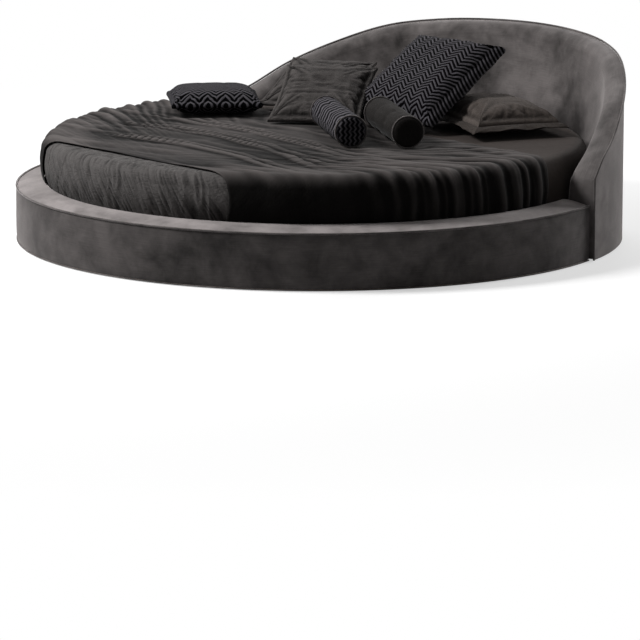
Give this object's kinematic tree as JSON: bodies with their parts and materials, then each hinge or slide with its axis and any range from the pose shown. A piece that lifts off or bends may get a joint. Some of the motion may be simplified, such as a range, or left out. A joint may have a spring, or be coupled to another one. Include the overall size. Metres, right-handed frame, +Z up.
{
  "type": "round upholstered bed",
  "caption": "Round upholstered platform bed with a wrap-around headboard, mattress, quilt, satin throw, pillows, cushions and bolsters.",
  "frame": {"origin": "on the floor under the middle of the round base, at the underside of the middle leg's foot", "axes": "+Z up; +Y towards the middle of the headboard, so the open foot of the bed faces -Y"},
  "size_m": [2.703, 2.7254, 0.8459],
  "materials": {
    "plywood": "sawn birch plywood",
    "bent_plywood": "thin bent plywood",
    "slat_wood": "planed pine",
    "foam": "open-cell foam",
    "wadding": "polyester wadding",
    "velvet": "charcoal velvet, clouded where the nap is brushed",
    "piping_velvet": "charcoal velvet over cord",
    "zinc_steel": "zinc plated",
    "bracket_steel": "black paint",
    "glide_plastic": "moulded",
    "mattress_foam": "dense foam",
    "ticking_cloth": "knitted ticking",
    "sheet_cloth": "smooth brown-grey sateen",
    "quilt_cloth": "crinkled dark grey",
    "throw_satin": "near-black satin",
    "linen": "grey-taupe slub linen",
    "pillow_cloth": "grey-brown sateen",
    "woven_cloth": "zigzag weave in near-black and grey",
    "woven_piping": "near-black piping",
    "bolster_satin": "dark brown-grey satin",
    "cushion_filling": "fibre filling"
  },
  "bodies": {
    "frame": {"base_bottom_ring": "plywood", "base_ledge_board": "plywood", "base_ribs": "plywood", "base_skin": "bent_plywood", "base_inner_wall": "bent_plywood", "base_side_foam": "foam", "base_side_cover": "velvet", "ledge_foam": "foam", "ledge_cover": "velvet", "base_top_piping": "piping_velvet", "base_bottom_piping": "piping_velvet", "slat_cleat_ring": "plywood", "slats": "slat_wood", "slat_screws": "zinc_steel", "beam_middle": "slat_wood", "beams_side": "slat_wood", "beam_legs": "slat_wood", "beam_feet": "glide_plastic", "beam_brackets": "bracket_steel", "base_glides": "glide_plastic", "headboard_glides": "glide_plastic", "headboard_inner_cover": "velvet", "headboard_outer_cover": "velvet", "headboard_foam": "foam", "headboard_bottom_plate": "plywood", "headboard_lower_panel": "bent_plywood", "headboard_back_panel": "bent_plywood", "headboard_wadding": "wadding", "headboard_face_panel": "bent_plywood", "headboard_ribs": "plywood", "headboard_piping": "piping_velvet", "headboard_hem_piping": "piping_velvet", "headboard_bolts": "zinc_steel", "headboard_washers": "zinc_steel", "headboard_barrel_nuts": "zinc_steel"},
    "mattress": {"mattress_core": "mattress_foam", "mattress_ticking": "ticking_cloth", "fitted_sheet": "sheet_cloth", "quilt": "quilt_cloth", "bed_throw": "throw_satin"},
    "large_woven_cushion": {"large_woven_cushion_cover": "woven_cloth", "large_woven_cushion_pad": "cushion_filling"},
    "front_linen_cushion": {"front_linen_cushion_cover": "linen", "front_linen_cushion_pad": "cushion_filling"},
    "back_linen_cushion": {"back_linen_cushion_cover": "linen", "back_linen_cushion_pad": "cushion_filling"},
    "small_woven_cushion": {"small_woven_cushion_cover": "woven_cloth", "small_woven_cushion_pad": "cushion_filling"},
    "right_pillow": {"right_pillow_cover": "pillow_cloth", "right_pillow_pad": "cushion_filling"},
    "left_pillow": {"left_pillow_cover": "pillow_cloth", "left_pillow_pad": "cushion_filling"},
    "plain_bolster": {"plain_bolster_cover": "bolster_satin", "plain_bolster_pad": "cushion_filling", "plain_bolster_piping": "bolster_satin"},
    "woven_bolster": {"woven_bolster_cover": "woven_cloth", "woven_bolster_pad": "cushion_filling", "woven_bolster_piping": "woven_piping"}
  },
  "joints": [
    {"name": "mattress_lift", "type": "slide", "parent": "frame", "child": "mattress", "axis": [0, 0, 1], "range_m": [0, 0.35]},
    {"name": "large_woven_cushion_lift", "type": "slide", "parent": "right_pillow", "child": "large_woven_cushion", "axis": [0.2441, 0.5469, 0.8008], "range_m": [0, 0.3]},
    {"name": "front_linen_cushion_lift", "type": "slide", "parent": "back_linen_cushion", "child": "front_linen_cushion", "axis": [0, 0, 1], "range_m": [0, 0.3]},
    {"name": "back_linen_cushion_lift", "type": "slide", "parent": "left_pillow", "child": "back_linen_cushion", "axis": [0.1826, 0.3651, 0.9129], "range_m": [0, 0.3]},
    {"name": "small_woven_cushion_lift", "type": "slide", "parent": "mattress", "child": "small_woven_cushion", "axis": [-0.4996, -0.2498, 0.8294], "range_m": [0, 0.3]},
    {"name": "right_pillow_lift", "type": "slide", "parent": "mattress", "child": "right_pillow", "axis": [0.2441, 0.5469, 0.8008], "range_m": [0, 0.3]},
    {"name": "left_pillow_lift", "type": "slide", "parent": "mattress", "child": "left_pillow", "axis": [-0.1761, 0.4402, 0.8805], "range_m": [0, 0.3]},
    {"name": "plain_bolster_lift", "type": "slide", "parent": "mattress", "child": "plain_bolster", "axis": [0, 0, 1], "range_m": [0, 0.3]},
    {"name": "woven_bolster_lift", "type": "slide", "parent": "mattress", "child": "woven_bolster", "axis": [0, 0, 1], "range_m": [0, 0.3]}
  ]
}
